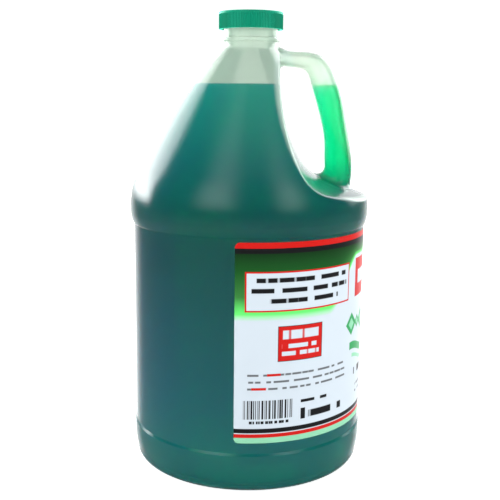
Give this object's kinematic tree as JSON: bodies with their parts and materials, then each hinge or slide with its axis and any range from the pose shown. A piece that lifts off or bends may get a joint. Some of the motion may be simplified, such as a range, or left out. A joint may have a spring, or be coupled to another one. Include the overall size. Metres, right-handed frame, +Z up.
{
  "type": "dish soap jug",
  "caption": "Round one gallon jug with a hollow side handle, a label panel between two bumpers, liquid inside and a ribbed screw cap.",
  "frame": {"origin": "centre of the base, on the surface the jug stands on", "axes": "+Z up the neck's axis, +X towards the handle"},
  "size_m": [0.1573, 0.1572, 0.2944],
  "materials": {
    "jug_plastic": "natural milky polyethylene, half see-through",
    "green_soap": "clear green liquid",
    "cap_plastic": "moulded green polypropylene with fine ribs",
    "liner_foam": "white foamed sheet",
    "label_film": "printed white film"
  },
  "bodies": {
    "bottle": {"jug": "jug_plastic", "soap_liquid": "green_soap", "label": "label_film"},
    "liner": {"cap_liner": "liner_foam"},
    "closure": {"cap": "cap_plastic"}
  },
  "joints": [
    {"name": "cap_lift", "type": "slide", "parent": "bottle", "child": "liner", "axis": [0, 0, 1], "range_m": [0, 0.0127]},
    {"name": "cap_turn", "type": "hinge", "parent": "liner", "child": "closure", "pos_m": [0, 0, 0.29], "axis": [0, 0, 1], "range_deg": [0, 1070]}
  ],
  "couplings": [
    {"joint": "cap_lift", "follows": "cap_turn", "m_per_rad": 0.00067373}
  ]
}
